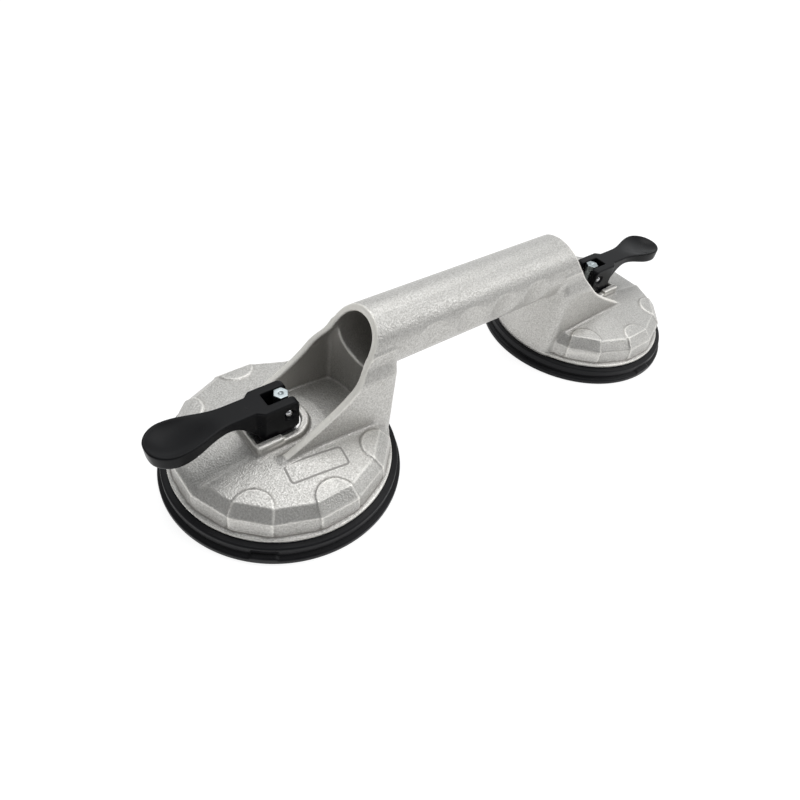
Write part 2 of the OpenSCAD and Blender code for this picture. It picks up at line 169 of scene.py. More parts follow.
def mesh_from_field(name, field, origin, step, adaptivity=0.0):
    """The field's zero surface as a mesh object; returns the object and its points."""
    grid = openvdb.FloatGrid(background=float(4 * step))
    grid.copyFromArray(np.ascontiguousarray(field, np.float32))
    points, triangles, quads = grid.convertToPolygons(0.0, adaptivity)
    points = points * step + np.asarray(origin)
    faces = [tuple(f) for f in triangles[:, ::-1].tolist()]
    faces += [tuple(f) for f in quads[:, ::-1].tolist()]
    return new_object(name, points, faces), points


def set_attribute(obj, name, values):
    """Store a number for each vertex, which a material can read."""
    layer = obj.data.attributes.new(name, "FLOAT", "POINT")
    layer.data.foreach_set("value", np.clip(values, 0, 1).astype(np.float32))


def vertex_points(obj):
    """An object's vertices in millimetres."""
    flat = np.empty(3 * len(obj.data.vertices))
    obj.data.vertices.foreach_get("co", flat)
    return flat.reshape(-1, 3) / MM


def apply_modifiers(obj):
    """Bake an object's modifiers into its mesh."""
    made = bpy.data.meshes.new_from_object(obj.evaluated_get(bpy.context.evaluated_depsgraph_get()))
    obj.modifiers.clear()
    obj.data = made


# ---- Casting ----

# Profiles [(r, z)] about a cup's axis. Each begins and ends beyond the axis, at AXIS, so that the
# axis itself isn't an edge. A housing is the flange joined with what FACETS and DECK share.
AXIS = -20
WALL_FOOT_Z = FLANGE_Z + 0.4
CHAMFER_RUN = 6  # how far the chamfer's planes run on above the deck
FLANGE = [(AXIS, COLLAR_Z), (FLANGE_R, COLLAR_Z), (FLANGE_R, FLANGE_Z), (WALL_R, WALL_FOOT_Z),
          (AXIS, WALL_FOOT_Z)]

FACETS = [(AXIS, COLLAR_Z), (WALL_R, COLLAR_Z), (WALL_R, WALL_FOOT_Z), (WALL_TOP_R, WALL_TOP_Z),
          (DECK_R, DECK_Z), (DECK_R - CHAMFER_RUN, DECK_Z + CHAMFER_RUN),
          (AXIS, DECK_Z + CHAMFER_RUN)]

# The deck's cone, with a round limit that trims the facets' corners near the flange
DECK_SLOPE = (CROWN_Z - DECK_Z) / (DECK_R - CROWN_R)
ROUND_R = WALL_R + 0.45
DECK = [(AXIS, COLLAR_Z), (ROUND_R, COLLAR_Z),
        (ROUND_R, DECK_Z - DECK_SLOPE * (ROUND_R - DECK_R)), (CROWN_R, CROWN_Z), (AXIS, CROWN_Z)]

CAVITY = [(AXIS, 0), (CAVITY_R, 0), (CAVITY_R, WALL_TOP_Z - ROOF_T + 1),
          (CAVITY_R - CHAMFER, DECK_Z - ROOF_T), (HUB_R, CROWN_Z - ROOF_T), (HUB_R, HUB_Z),
          (AXIS, HUB_Z)]

LEG_EDGE = cubic((LEG_TIP, CROWN_Z - 0.3), (LEG_TIP - 22, CROWN_Z + 12.2),
                 (MOUTH_X + 13, TUBE_TOP_Z - 32), (MOUTH_X, TUBE_TOP_Z), 28)

LEG_BLEND_TOP, LEG_BLEND_H, LEG_BLEND_STEPS = 63.0, 13.0, 16
LEG_FOOT_Z, POCKET_FOOT_Z = -20, 10

# Widths of the casting's fillets and rounded edges
LEG_BACK_ROUND, LEG_TUBE_FILLET, LEG_FOOT_FILLET, POCKET_CORNER = 4.0, 2.5, 2.0, 2.0
CUT_EDGE, TAB_EDGE, FINGER_EDGE = 0.8, 0.25, 0.25
TROUGH_CORNER, TROUGH_EDGE, BOSS_FOOT_FILLET = 2.5, 1.5, 1.6
BOSS_CORNER, BOSS_EDGE, BOSS_STEP_EDGE, BOSS_STEP_FILLET, BOSS_POCKET_EDGE = 1.5, 0.7, 0.9, 0.6, 0.5

# The casting's grid and mesh, and how its looks are marked: trimmed faces bright, painted shade in
# the pocket, bore and creases, and painted highlights on ridges
CASTING_STEP, CASTING_QUICK_STEP, CASTING_TRIANGLES = 0.43, 0.9, 190_000
TRIM_REACH, TRIM_GAIN, INSIDE_SHADE_REACH, INSIDE_SHADE_RISE = 0.7, 3, 0.6, 3
BEND_GAIN, BEND_FLOOR = 9, 0.25


def leg_section(low, top, z0):
    """Section of the leg across X: straight sides that narrow to the tube."""
    n = LEG_BLEND_STEPS
    heights = [LEG_BLEND_TOP - LEG_BLEND_H * (1 - i / n) for i in range(n + 1)]
    side = [(low - (low - top) * float(ease(i / n)), z) for i, z in enumerate(heights)]
    return [(-low, z0), (low, z0)] + side + [(-y, z) for y, z in reversed(side)]


def air_field(u, z):
    """The space over the leg's sloping edge, in side view."""
    return polygon_field(LEG_EDGE + [(MOUTH_X, 100), (90, 100), (90, CROWN_Z - 0.3)], u, z)


def turned(degrees, u, y):
    """Coordinates along and across a direction in plan."""
    c, s = math.cos(math.radians(degrees)), math.sin(math.radians(degrees))
    return u * c + y * s, y * c - u * s


def facet_radius(u, y):
    """Distance from the cup's axis, measured square to the flat facet it faces."""
    return np.maximum.reduce([turned(2 * HALF_FACET * i, u, y)[0] for i in range(FACET_COUNT)])


def tab_plan_field(u, y):
    """Plan of the tabs on every other facet: round inside, widening with the facet."""
    c, s = math.cos(math.radians(HALF_FACET)), math.sin(math.radians(HALF_FACET))
    tabs = []
    for angle in TAB_ANGLES:
        along, across = turned(angle, u, y)
        across = np.abs(across)
        wedge = across * c - along * s
        round_end = np.hypot(along - TAB_X, across) - TAB_X * s
        tabs.append(np.where(along * c + across * s > TAB_X * c, wedge, round_end))
    return np.minimum.reduce(tabs)


def boss_plan_field(r, end, u, y):
    """Plan of the boss: round at the pivot end, square at the outer end."""
    square_end = smooth_max(np.abs(y) - r, u - end, BOSS_CORNER)
    return np.where(u < 0, np.hypot(u, y) - r, square_end)


def housing_field(u2, y2, radius, z):
    """Faceted housing on its round flange, with raised tabs on every other facet."""
    shell = np.maximum(lathe_field(FACETS, facet_radius(u2, y2), z), lathe_field(DECK, radius, z))
    tabs = smooth_max(shell - TAB_H, tab_plan_field(u2, y2)[..., None], TAB_EDGE)
    tabs = np.maximum(tabs, TAB_FOOT_Z - z[None, None, :])
    return np.minimum(np.minimum(shell, tabs), lathe_field(FLANGE, radius, z))


def leg_field(u, y, z, radius, tube_axis):
    """Hollow leg with a sloping edge, and the tube that it carries."""
    plane = (y[:, None], z[None, :])
    outer = polygon_field(leg_section(LEG_HALF, TUBE_R, LEG_FOOT_Z), *plane)[None]
    inner = polygon_field(leg_section(LEG_HALF - LEG_WALL, BORE_R, POCKET_FOOT_Z), *plane)[None]
    leg = smooth_max(outer, (radius - LEG_BACK_R)[..., None], LEG_BACK_ROUND)
    leg = np.maximum(np.maximum(leg, COLLAR_Z - z[None, None, :]), u[:, None, None] - LEG_TIP)
    leg = smooth_min(leg, tube_axis - TUBE_R, LEG_TUBE_FILLET)
    air = air_field(u[:, None], z[None, :])[:, None, :]
    leg = smooth_max(leg, -air, CUT_EDGE)
    pocket = smooth_max(inner, (radius - POCKET_R)[..., None], POCKET_CORNER)
    return smooth_max(leg, -pocket, CUT_EDGE)


def cut_finger_recesses(field, x, y, z):
    """Scoop the finger recesses with an upright round cutter."""
    cutter_r = (FINGER_W ** 2 / 4 + FINGER_DEPTH ** 2) / (2 * FINGER_DEPTH)
    cutter_y = TUBE_R - FINGER_DEPTH + cutter_r
    height = np.abs(z[None, None, :] - HANDLE_Z) - TUBE_R
    for centre in FINGER_X:
        scoop = (np.hypot(x[:, None] - centre, y[None, :] - cutter_y) - cutter_r)[..., None]
        field = smooth_max(field, -np.maximum(scoop, height), FINGER_EDGE)
    return field


def cut_trough(field, u, y3, z3):
    """Cut the trough that runs from the boss out to the rim."""
    fall, run = CROWN_Z - DECK_Z + TROUGH_DEPTH, DECK_R - BOSS_END
    trough_z = CROWN_Z - 0.2 - (u - BOSS_END) * fall / run
    trough = smooth_max(trough_z[:, None, None] - z3, np.abs(y3) - TROUGH_HALF, TROUGH_CORNER)
    trough = np.maximum(trough, BOSS_END - 0.5 - u[:, None, None])
    return smooth_max(field, -trough, TROUGH_EDGE)


def add_boss(field, u2, y2, z3):
    """Add the boss with its ledges, and cut its pocket for the lever's heel."""
    u3, y3 = u2[..., None], y2[..., None]
    plan = boss_plan_field(BOSS_R, BOSS_END, u2, y2)[..., None]
    low_part = smooth_max(plan, z3 - BOSS_RIM_Z, BOSS_EDGE)
    ledges = smooth_max(plan, z3 - BOSS_LEDGE_Z, BOSS_EDGE)
    ledges = smooth_max(ledges, BOSS_STEP_X - u3, BOSS_STEP_EDGE)
    boss = smooth_min(low_part, ledges, BOSS_STEP_FILLET)
    field = smooth_min(field, np.maximum(boss, CROWN_Z - 3 - z3), BOSS_FOOT_FILLET)
    hole = np.maximum(boss_plan_field(BOSS_POCKET_R, BOSS_POCKET_END, u2, y2)[..., None],
                      BOSS_FLOOR_Z - z3)
    step = np.maximum(np.maximum(np.abs(y3) - BOSS_POCKET_R, BOSS_STEP_X - u3),
                      BOSS_LEDGE_Z - 1 - z3)
    return smooth_max(field, -np.minimum(hole, step), BOSS_POCKET_EDGE)


def casting_quarter(x, y, z):
    """Field of the quarter of the casting where x and y are positive."""
    u = x - CUP_X
    u2, y2 = u[:, None], y[None, :]
    y3, z3 = y[None, :, None], z[None, None, :]
    radius = np.hypot(u2, y2)
    tube_axis = np.hypot(y[:, None], z[None, :] - HANDLE_Z)[None]
    leg = leg_field(u, y, z, radius, tube_axis)
    field = smooth_min(housing_field(u2, y2, radius, z), leg, LEG_FOOT_FILLET)
    field = smooth_max(field, BORE_R - tube_axis, CUT_EDGE)
    field = cut_finger_recesses(field, x, y, z)
    field = cut_trough(field, u, y3, z3)
    field = add_boss(field, u2, y2, z3)
    field = smooth_max(field, -lathe_field(CAVITY, radius, z), CUT_EDGE)
    return np.maximum(field, (HUB_BORE_R - radius)[..., None])


def casting_marks(points):
    """Where the casting was trimmed bright, and where painted shade darkens it inside the pocket
    and bore.
    """
    x, y, z = np.abs(points[:, 0]), np.abs(points[:, 1]), points[:, 2]
    u = x - CUP_X
    on_edge = 1 - np.abs(air_field(u, z)) / TRIM_REACH
    trimmed = np.where((z > CROWN_Z + 1) & (y < LEG_HALF + 1), on_edge, 0)
    inner = polygon_field(leg_section(LEG_HALF - LEG_WALL, BORE_R, POCKET_FOOT_Z), y, z)
    in_pocket = np.maximum(inner, np.hypot(u, y) - POCKET_R)
    in_bore = np.hypot(y, z - HANDLE_Z) - BORE_R
    inside = 1 - np.clip(np.minimum(in_pocket, in_bore), 0, 1) / INSIDE_SHADE_REACH
    inside = inside * np.clip((z - CROWN_Z) / INSIDE_SHADE_RISE, 0, 1)
    return TRIM_GAIN * trimmed, inside * (1 - np.clip(TRIM_GAIN * trimmed, 0, 1))


def make_casting():
    """The one-piece casting: quarter field, mirrored twice, turned into a mesh."""
    step = CASTING_STEP
    x = (np.arange(int(166 / step)) + 0.5) * step
    y = (np.arange(int(57 / step)) + 0.5) * step
    z = np.arange(7.5, 79, step)
    quarter = casting_quarter(x.astype(np.float32), y.astype(np.float32), z.astype(np.float32))
    quarter = soften(quarter.astype(np.float32), 1)
    bend = soften(quarter, 3) - quarter
    half = np.concatenate([quarter[::-1], quarter], 0)
    whole = np.concatenate([half[:, ::-1], half], 1)
    obj, _ = mesh_from_field("casting_body", whole, (-x[-1], -y[-1], z[0]), step)
    reduce = obj.modifiers.new("reduce", "DECIMATE")
    reduce.ratio = min(1.0, CASTING_TRIANGLES / (2 * len(obj.data.polygons)))
    apply_modifiers(obj)
    points = vertex_points(obj)
    trimmed, inside = casting_marks(points)
    at = tuple(
        np.clip(np.rint((np.abs(points[:, k]) if k < 2 else points[:, 2]) / step
                        - (0.5 if k < 2 else z[0] / step)).astype(int), 0, quarter.shape[k] - 1)
        for k in range(3))
    set_attribute(obj, "trimmed", trimmed)
    # Painted shade inside the leg's pocket and the tube's bore
    set_attribute(obj, "inside", inside)
    # Painted highlight along convex ridges, from how far the field bends outwards
    set_attribute(obj, "ridge_painted_highlight", bend[at] * BEND_GAIN - BEND_FLOOR)
    # Painted shade along concave creases, from how far the field bends inwards
    set_attribute(obj, "crease_painted_shade", -bend[at] * BEND_GAIN - BEND_FLOOR)
    return obj


# ---- Lever ----

HEEL_DROP, LEVER_TOP, LEVER_L = 11.0, 7.0, 62.3
FORK_HALF, FORK_END, SLOT_HALF, SLOT_END = 8.4, 5.0, 3.8, 8.4
NECK_HALF, NECK_X, NECK_Z = 5.9, 29.0, 1.9
PADDLE_HALF, PADDLE_X, PADDLE_Z, TIP_CORNER = 11.0, 51.3, -0.2, 0.8
SHOULDER_X, SHOULDER_L, HEEL_X, HEEL_CORNER = 12.3, 3.0, 15.2, 3.0
PIN_SEAT_R, PIN_SEAT_DEPTH, PIN_FIT = 3.0, 0.7, 0.05
CAM_RATE, CAM_LAST = 3.5 / (math.pi / 2), 45
SPOON_START, SPOON_DEPTH, SPOON_RIM = 27.0, 2.2, 0.8
LEVER_STEP, LEVER_QUICK_STEP, LEVER_TRIANGLES = 0.27, 0.5, 45_000


def cam_point(degrees):
    """Heel contour at an angle: it shrinks evenly as the lever turns."""
    a = math.radians(degrees)
    p = HEEL_DROP - CAM_RATE * a
    return (max(-p * math.sin(a) + CAM_RATE * math.cos(a), -FORK_END),
            -p * math.cos(a) - CAM_RATE * math.sin(a))


def lever_side():
    """Side view of the lever about its pivot, as (x, z)."""
    heel = arc((HEEL_X - HEEL_CORNER, HEEL_CORNER - HEEL_DROP), HEEL_CORNER, -90, 0, 6)
    neck = cubic((HEEL_X, HEEL_CORNER - HEEL_DROP + 0.3), (HEEL_X + 4.3, NECK_Z - 6.9),
                 (NECK_X - 8.5, NECK_Z), (NECK_X, NECK_Z), 12)
    run = PADDLE_X - NECK_X
    paddle = cubic((NECK_X + 1, NECK_Z), (NECK_X + 0.4 * run, NECK_Z),
                   (NECK_X + 0.6 * run, PADDLE_Z), (PADDLE_X, PADDLE_Z), 8)
    tip = [(LEVER_L - TIP_CORNER, PADDLE_Z), (LEVER_L, PADDLE_Z + TIP_CORNER),
           (LEVER_L, LEVER_TOP)]
    fork = arc((3 - FORK_END, LEVER_TOP - 3), 3, 90, 180, 6)
    cam = [cam_point(CAM_LAST * i / 12) for i in range(12, -1, -1)]
    return heel + neck + paddle + tip + fork + cam


def lever_plan():
    """Plan of the lever about its pivot, as (x, y)."""
    start = NECK_X - 3
    half = [(-FORK_END - 1, FORK_HALF), (SHOULDER_X, FORK_HALF),
            (SHOULDER_X + SHOULDER_L, NECK_HALF), (start, NECK_HALF)]
    half += [(start + (PADDLE_X - start) * i / 16,
              NECK_HALF + (PADDLE_HALF - NECK_HALF) * float(ease(i / 16))) for i in range(1, 17)]
    half += arc((PADDLE_X, 0), PADDLE_HALF, 90, 0, 20)[1:]
    return half + [(x, -y) for x, y in reversed(half[:-1])]


def lever_field(x, y, z):
    """Field of the half of the lever where y is positive, about its pivot."""
    x3, y3, z3 = x[:, None, None], y[None, :, None], z[None, None, :]
    plan2 = polygon_field(lever_plan(), x[:, None], y[None, :])
    side = polygon_field(lever_side(), x[:, None], z[None, :])[:, None, :]
    low_edge = np.clip((5.5 - z3) / 4, 0, 1) * np.clip((x3 - 18) / 12, 0, 1)
    field = smooth_max(side, plan2[..., None], 0.9 + 0.9 * low_edge)

    # Spoon-shaped recess that follows the paddle's outline
    inward = np.clip((-plan2 - SPOON_RIM) / (PADDLE_HALF - SPOON_RIM), 0, 1)
    along = ease((x - SPOON_START)[:, None] / (PADDLE_X - SPOON_START))
    depth = SPOON_DEPTH * along * (1 - (1 - inward) ** 2.6)
    field = smooth_max(field, 0.9 * (z3 - LEVER_TOP + depth[..., None]), 0.3)

    # Slot for the bolt's head, pin hole and the seats of the pin's domed ends
    field = smooth_max(field, -np.maximum(y3 - SLOT_HALF, x3 - SLOT_END), 0.5)
    pin_axis = np.hypot(x3, z3)
    seat = np.maximum(pin_axis - PIN_SEAT_R, FORK_HALF - PIN_SEAT_DEPTH - y3)
    field = smooth_max(field, -seat, 0.3)
    return np.maximum(field, PIN_R + PIN_FIT - pin_axis)


def make_levers():
    """Both levers from one field; the right one is the left one turned round."""
    step = LEVER_STEP
    x = np.arange(-FORK_END - 1, LEVER_L + 1, step)
    y = (np.arange(int((PADDLE_HALF + 1) / step)) + 0.5) * step
    z = np.arange(-HEEL_DROP - 1, LEVER_TOP + 1, step)
    half = soften(lever_field(x, y, z), 1)
    whole = np.concatenate([half[:, ::-1], half], 1)
    right, _ = mesh_from_field("lever_handle_right", whole, (x[0], -y[-1], z[0]), step)
    reduce = right.modifiers.new("reduce", "DECIMATE")
    reduce.ratio = min(1.0, LEVER_TRIANGLES / (2 * len(right.data.polygons)))
    apply_modifiers(right)
    left = bpy.data.objects.new("lever_handle_left", right.data.copy())
    bpy.context.scene.collection.objects.link(left)
    right.data.transform(Matrix.Translation(Vector((CUP_X, 0, PIVOT_Z)) * MM))
    left.data.transform(Matrix.Translation(Vector((-CUP_X, 0, PIVOT_Z)) * MM)
                        @ Matrix.Rotation(math.pi, 4, "Z"))
    return {"left": left, "right": right}


# ---- Suction pads ----


def rounded(profile, radius, steps=3):
    """A closed profile with each corner rounded by up to radius."""
    out = []
    for i, corner in enumerate(profile):
        here = np.array(corner, float)
        before = np.array(profile[i - 1], float) - here
        after = np.array(profile[(i + 1) % len(profile)], float) - here
        reach = min(radius, 0.45 * np.linalg.norm(before), 0.45 * np.linalg.norm(after))
        start = here + before / np.linalg.norm(before) * reach
        end = here + after / np.linalg.norm(after) * reach
        for k in range(steps + 1):
            t = k / steps
            out.append(tuple((1 - t) ** 2 * start + 2 * t * (1 - t) * here + t * t * end))
    return out


def lathe(name, profile, centre, segments=256, axis="Z"):
    """A closed profile [(r, z)] turned about an axis through centre."""
    turns = [2 * math.pi * k / segments for k in range(segments)]
    verts = []
    for a in turns:
        for r, h in profile:
            point = (r * math.cos(a), r * math.sin(a), h)
            if axis == "Y":
                point = (point[0], h, -point[1])
            verts.append(tuple(p + c for p, c in zip(point, centre)))
    n = len(profile)
    faces = [(k * n + i, (k + 1) % segments * n + i, (k + 1) % segments * n + (i + 1) % n,
              k * n + (i + 1) % n) for k in range(segments) for i in range(n)]
    return face_outwards(new_object(name, verts, faces))


def face_outwards(obj):
    """Turn every face of a closed mesh outwards."""
    shape = bmesh.new()
    shape.from_mesh(obj.data)
    bmesh.ops.recalc_face_normals(shape, faces=shape.faces)
    shape.to_mesh(obj.data)
    shape.free()
    return obj


def solid_lathe(name, outline, centre, segments=96, axis="Z"):
    """An open outline [(r, z)] whose ends lie on the axis, turned into a solid."""
    tiny = 0.01
    return lathe(name, [(max(r, tiny), h) for r, h in outline], centre, segments, axis)


PAD_R, CAVITY_H, PLATE_Z = 59.0, 4.0, 7.0

# Outer ring of the pad: sealing lip with fine ribs below, groove, and collar
PAD_RIBS = [(r + dr, h) for r in (56.5, 54.0, 51.5, 49.0) for dr, h in
            ((0.5, 0.0), (0.25, 0.35), (-0.25, 0.35), (-0.5, 0.0))]
PAD_RING = [(PAD_R - 0.4, 0.0), (PAD_R, 0.5), (PAD_R, 2.6), (PAD_R - 0.6, 3.2), (56.6, 3.7),
            (56.6, 4.3), (57.1, 4.9), (57.1, 8.4), (56.5, 8.97), (46.1, 8.97), (44.1, 7.0),
            (44.5, 4.5), (46.8, 0.3), (47.2, 0.0)] + PAD_RIBS[::-1]

# Thin middle of the pad, which follows the backing plate
PAD_MIDDLE = [(0.01, CAVITY_H), (20, CAVITY_H), (41, CAVITY_H), (46.9, 0.25), (46.4, 1.5),
              (44.2, 5.6), (43.6, PLATE_Z), (20, PLATE_Z), (0.01, PLATE_Z)]

# Pull tab: on a short arc the sealing lip's top stands higher, and the collar's foot gives way
PULL_TAB_ANGLES = {"left": -128.0, "right": -88.0}
PULL_TAB_HALF_ANGLE, PULL_TAB_EASE, PULL_TAB_RISE = 5.2, 1.2, 0.9
PULL_TAB_R, PULL_TAB_LOW, PULL_TAB_HIGH = 56, 2.0, 5.2
GROOVE_Z, COLLAR_GAIN = 4, 1.6


def add_pull_tab(ring, side, centre_x):
    """Raise the top of the lip over a short arc, for a finger to lift the rim by."""
    for vertex in ring.data.vertices:
        x, y, z = vertex.co.x / MM - centre_x, vertex.co.y / MM, vertex.co.z / MM
        radius = math.hypot(x, y)
        off = abs((math.degrees(math.atan2(y, x)) - PULL_TAB_ANGLES[side] + 180) % 360 - 180)
        share = (PULL_TAB_HALF_ANGLE + PULL_TAB_EASE - off) / PULL_TAB_EASE
        window = float(ease(np.clip(share, 0, 1)))
        if window > 0 and radius > PULL_TAB_R and PULL_TAB_LOW < z < PULL_TAB_HIGH:
            vertex.co.z += PULL_TAB_RISE * MM * window * (1 if z < GROOVE_Z else COLLAR_GAIN)


def make_pad(side, centre_x):
    """Ring, thin middle and pull tab of one suction pad."""
    ring = lathe("pad_ring_" + side, rounded(PAD_RING, 0.35), (centre_x, 0, 0), 512)
    add_pull_tab(ring, side, centre_x)
    middle = lathe("pad_middle_" + side, PAD_MIDDLE, (centre_x, 0, 0), 128)
    return ring, middle


# ---- Steel hardware ----

EYE_R, EYE_LOW, HEX_LOW, HEX_TOP, HEX_HALF = 3.4, 36.4, 43.6, 47.0, 3.25
BOLT_R, BOLT_LOW, THREAD_PITCH, THREAD_DEPTH = 2.5, 8.0, 0.8, 0.35
BOLT_STEP, BOLT_QUICK_STEP = 0.16, 0.3


def bolt_field(x, y, z):
    """Field of a pull bolt: threaded shank, round eye with its cross hole, and hexagon."""
    x3, y3, z3 = x[:, None, None], y[None, :, None], z[None, None, :]
    radius = np.hypot(x3, y3)
    turn = np.arctan2(y3, x3) / (2 * np.pi)
    thread = THREAD_DEPTH * np.abs(2 * np.mod(z3 / THREAD_PITCH - turn, 1) - 1)
    shank = np.maximum(radius - BOLT_R + 0.8 * thread, BOLT_LOW - z3)
    shank = np.maximum(0.8 * shank, z3 - PIVOT_Z)
    eye = smooth_max(radius - EYE_R, np.maximum(EYE_LOW - z3, z3 - HEX_LOW - 1), 0.8)
    flats = np.maximum.reduce([np.abs(x3 * math.cos(a) + y3 * math.sin(a)) + 0 * z3 - HEX_HALF
                               for a in (math.pi / 6, math.pi / 2, 5 * math.pi / 6)])
    chamfer = (radius - HEX_HALF - 0.15 + 1.6 * (z3 - HEX_TOP)) / 1.9
    head = smooth_max(np.maximum(flats, chamfer), z3 - HEX_TOP, 0.3)
    dimple = 1.5 - np.sqrt(radius**2 + (z3 - HEX_TOP - 0.9) ** 2)
    head = smooth_max(np.maximum(head, HEX_LOW - z3), dimple, 0.3)
    field = np.minimum(np.minimum(shank, eye), head)
    return np.maximum(field, PIN_R - np.hypot(x3, z3 - PIVOT_Z))


def make_bolts():
    """Both pull bolts, from one field."""
    step = BOLT_STEP
    x = np.arange(-4.4, 4.4, step)
    z = np.arange(BOLT_LOW - 1, HEX_TOP + 1, step)
    right, _ = mesh_from_field("bolt_right", bolt_field(x, x, z), (x[0], x[0], z[0]), step)
    left = bpy.data.objects.new("bolt_left", right.data.copy())
    bpy.context.scene.collection.objects.link(left)
    for obj, centre_x in ((right, CUP_X), (left, -CUP_X)):
        obj.data.transform(Matrix.Translation((centre_x * MM, 0, 0)))
    return {"left": left, "right": right}


def make_pin(side, centre_x):
    """Pivot pin with polished domed ends."""
    reach, dome_r = FORK_HALF - PIN_SEAT_DEPTH + 0.5, 2.35
    end = arc((0, reach - dome_r), dome_r, 20, 90, 14)
    half = [(PIN_R, 0.0), (PIN_R, end[0][1] - 0.25), (PIN_R, end[0][1])]
    half += [(min(r, PIN_R), h) for r, h in end]
    outline = [(r, -h) for r, h in reversed(half[1:])] + half
    return solid_lathe("pin_" + side, outline, (centre_x, 0, PIVOT_Z), 64, "Y")


SPRING_R, WIRE_R, SPRING_TURNS, SPRING_LOW, SPRING_HIGH = 6.9, 0.65, 3.5, 11.52, 18.78


def make_spring(side, centre_x):
    """Release spring, with its end turns laid flat."""
    per_turn, sides = 48, 14
    count = int(SPRING_TURNS * per_turn)
    verts = []
    for i in range(count + 1):
        t = i / count
        a = 2 * math.pi * SPRING_TURNS * t
        rise = float(ease((t - 0.06) / 0.88)) * 0.35 + 0.65 * t
        z = SPRING_LOW + WIRE_R + (SPRING_HIGH - SPRING_LOW - 2 * WIRE_R) * rise
        for k in range(sides):
            b = 2 * math.pi * k / sides
            r = SPRING_R + WIRE_R * math.cos(b)
            verts.append((centre_x + r * math.cos(a), r * math.sin(a), z + WIRE_R * math.sin(b)))
    faces = [(i * sides + k, (i + 1) * sides + k, (i + 1) * sides + (k + 1) % sides,
              i * sides + (k + 1) % sides) for i in range(count) for k in range(sides)]
    faces += [tuple(range(sides)), tuple(range(count * sides + sides - 1, count * sides - 1, -1))]
    return face_outwards(new_object("spring_" + side, verts, faces))


# ---- Blank badge outline on the near cup's deck ----

BADGE_CENTRE, BADGE_SIZE, BADGE_TILT = (-108.7, -29.0), (28.0, 10.0), -7.0
BADGE_CORNER, BADGE_LINE, BADGE_SINK, BADGE_PROUD = 1.6, 0.5, -0.15, 0.04


def deck_height(x, y):
    """Height of the housing's sloping deck under a point."""
    r = math.hypot(abs(x) - CUP_X, y)
    return CROWN_Z - (CROWN_Z - DECK_Z) * (r - CROWN_R) / (DECK_R - CROWN_R)


def make_badge():
    """An empty rounded frame, a little proud of the deck, where a badge would be."""
    half_w, half_h = BADGE_SIZE[0] / 2 - BADGE_CORNER, BADGE_SIZE[1] / 2 - BADGE_CORNER
    corners = ((half_w, half_h), (-half_w, half_h), (-half_w, -half_h), (half_w, -half_h))
    path = []
    for i, (cx, cy) in enumerate(corners):
        nx, ny = corners[(i + 1) % 4]
        bend = [math.radians(90 * (i + k / 8)) for k in range(9)]
        path += [(cx + BADGE_CORNER * math.cos(a), cy + BADGE_CORNER * math.sin(a), a)
                 for a in bend]
        side = [k / 16 for k in range(1, 16)]
        px, py, a = path[-1]
        path += [(px + (nx - cx) * t, py + (ny - cy) * t, a) for t in side]
    tilt = math.radians(BADGE_TILT)
    verts = []
    for px, py, way in path:
        for out, lift in ((-BADGE_LINE, BADGE_SINK), (-BADGE_LINE, BADGE_PROUD),
                          (BADGE_LINE, BADGE_PROUD), (BADGE_LINE, BADGE_SINK)):
            qx, qy = px + out * math.cos(way), py + out * math.sin(way)
            x = BADGE_CENTRE[0] + qx * math.cos(tilt) - qy * math.sin(tilt)
            y = BADGE_CENTRE[1] + qx * math.sin(tilt) + qy * math.cos(tilt)
            verts.append((x, y, deck_height(x, y) + lift))
    n = len(path)
    faces = [(4 * i + k, 4 * ((i + 1) % n) + k, 4 * ((i + 1) % n) + (k + 1) % 4,
              4 * i + (k + 1) % 4) for i in range(n) for k in range(4)]
    return face_outwards(new_object("badge_frame", verts, faces, smooth=False))


# ---- Materials ----

# Noise scales are in cells per metre, and bump distances in metres


class Nodes:
    """A small helper to build a material's node tree."""

    def __init__(self, name):
        self.material = bpy.data.materials.new(name)
        self.material.use_nodes = True
        self.tree = self.material.node_tree
        self.shader = self.tree.nodes["Principled BSDF"]

    def add(self, kind, **settings):
        node = self.tree.nodes.new("ShaderNode" + kind)
        for key, value in settings.items():
            if key in node.inputs:
                node.inputs[key].default_value = value
            else:
                setattr(node, key, value)
        return node

    def link(self, out, into):
        self.tree.links.new(out, into)

    def place(self):
        """Object coordinates, in metres."""
        return self.add("TexCoord").outputs["Object"]

    def noise(self, scale, detail=2.0, roughness=0.5):
        node = self.add("TexNoise", Scale=scale, Detail=detail, Roughness=roughness)
        self.link(self.place(), node.inputs["Vector"])
        return node.outputs["Fac"]

    def mark(self, name):
        return self.add("Attribute", attribute_name=name).outputs["Fac"]

    def span(self, value, low, high, to_low, to_high):
        """Map a value's range onto another, clamped."""
        node = self.add("MapRange")
        for key, number in zip(("From Min", "From Max", "To Min", "To Max"),
                               (low, high, to_low, to_high)):
            node.inputs[key].default_value = number
        self.link(value, node.inputs["Value"])
        return node.outputs["Result"]

    def mix(self, factor, a, b):
        """Mix two colours; each is a colour or a socket."""
        node = self.add("Mix", data_type="RGBA")
        self.link(factor, node.inputs["Factor"])
        for value, socket in ((a, node.inputs[6]), (b, node.inputs[7])):
            if isinstance(value, tuple):
                socket.default_value = (*value, 1)
            else:
                self.link(value, socket)
        return node.outputs[2]

    def math(self, operation, a, b):
        node = self.add("Math", operation=operation)
        for i, value in enumerate((a, b)):
            if isinstance(value, (int, float)):
                node.inputs[i].default_value = value
            else:
                self.link(value, node.inputs[i])
        return node.outputs[0]

    def set(self, **values):
        for key, value in values.items():
            socket = self.shader.inputs[key.replace("_", " ")]
            if isinstance(value, tuple):
                socket.default_value = (*value, 1)
            elif isinstance(value, (int, float)):
                socket.default_value = value
            else:
                self.link(value, socket)

    def bump(self, height, strength, distance):
        node = self.add("Bump", Strength=strength, Distance=distance)
        self.link(height, node.inputs["Height"])
        self.link(node.outputs["Normal"], self.shader.inputs["Normal"])


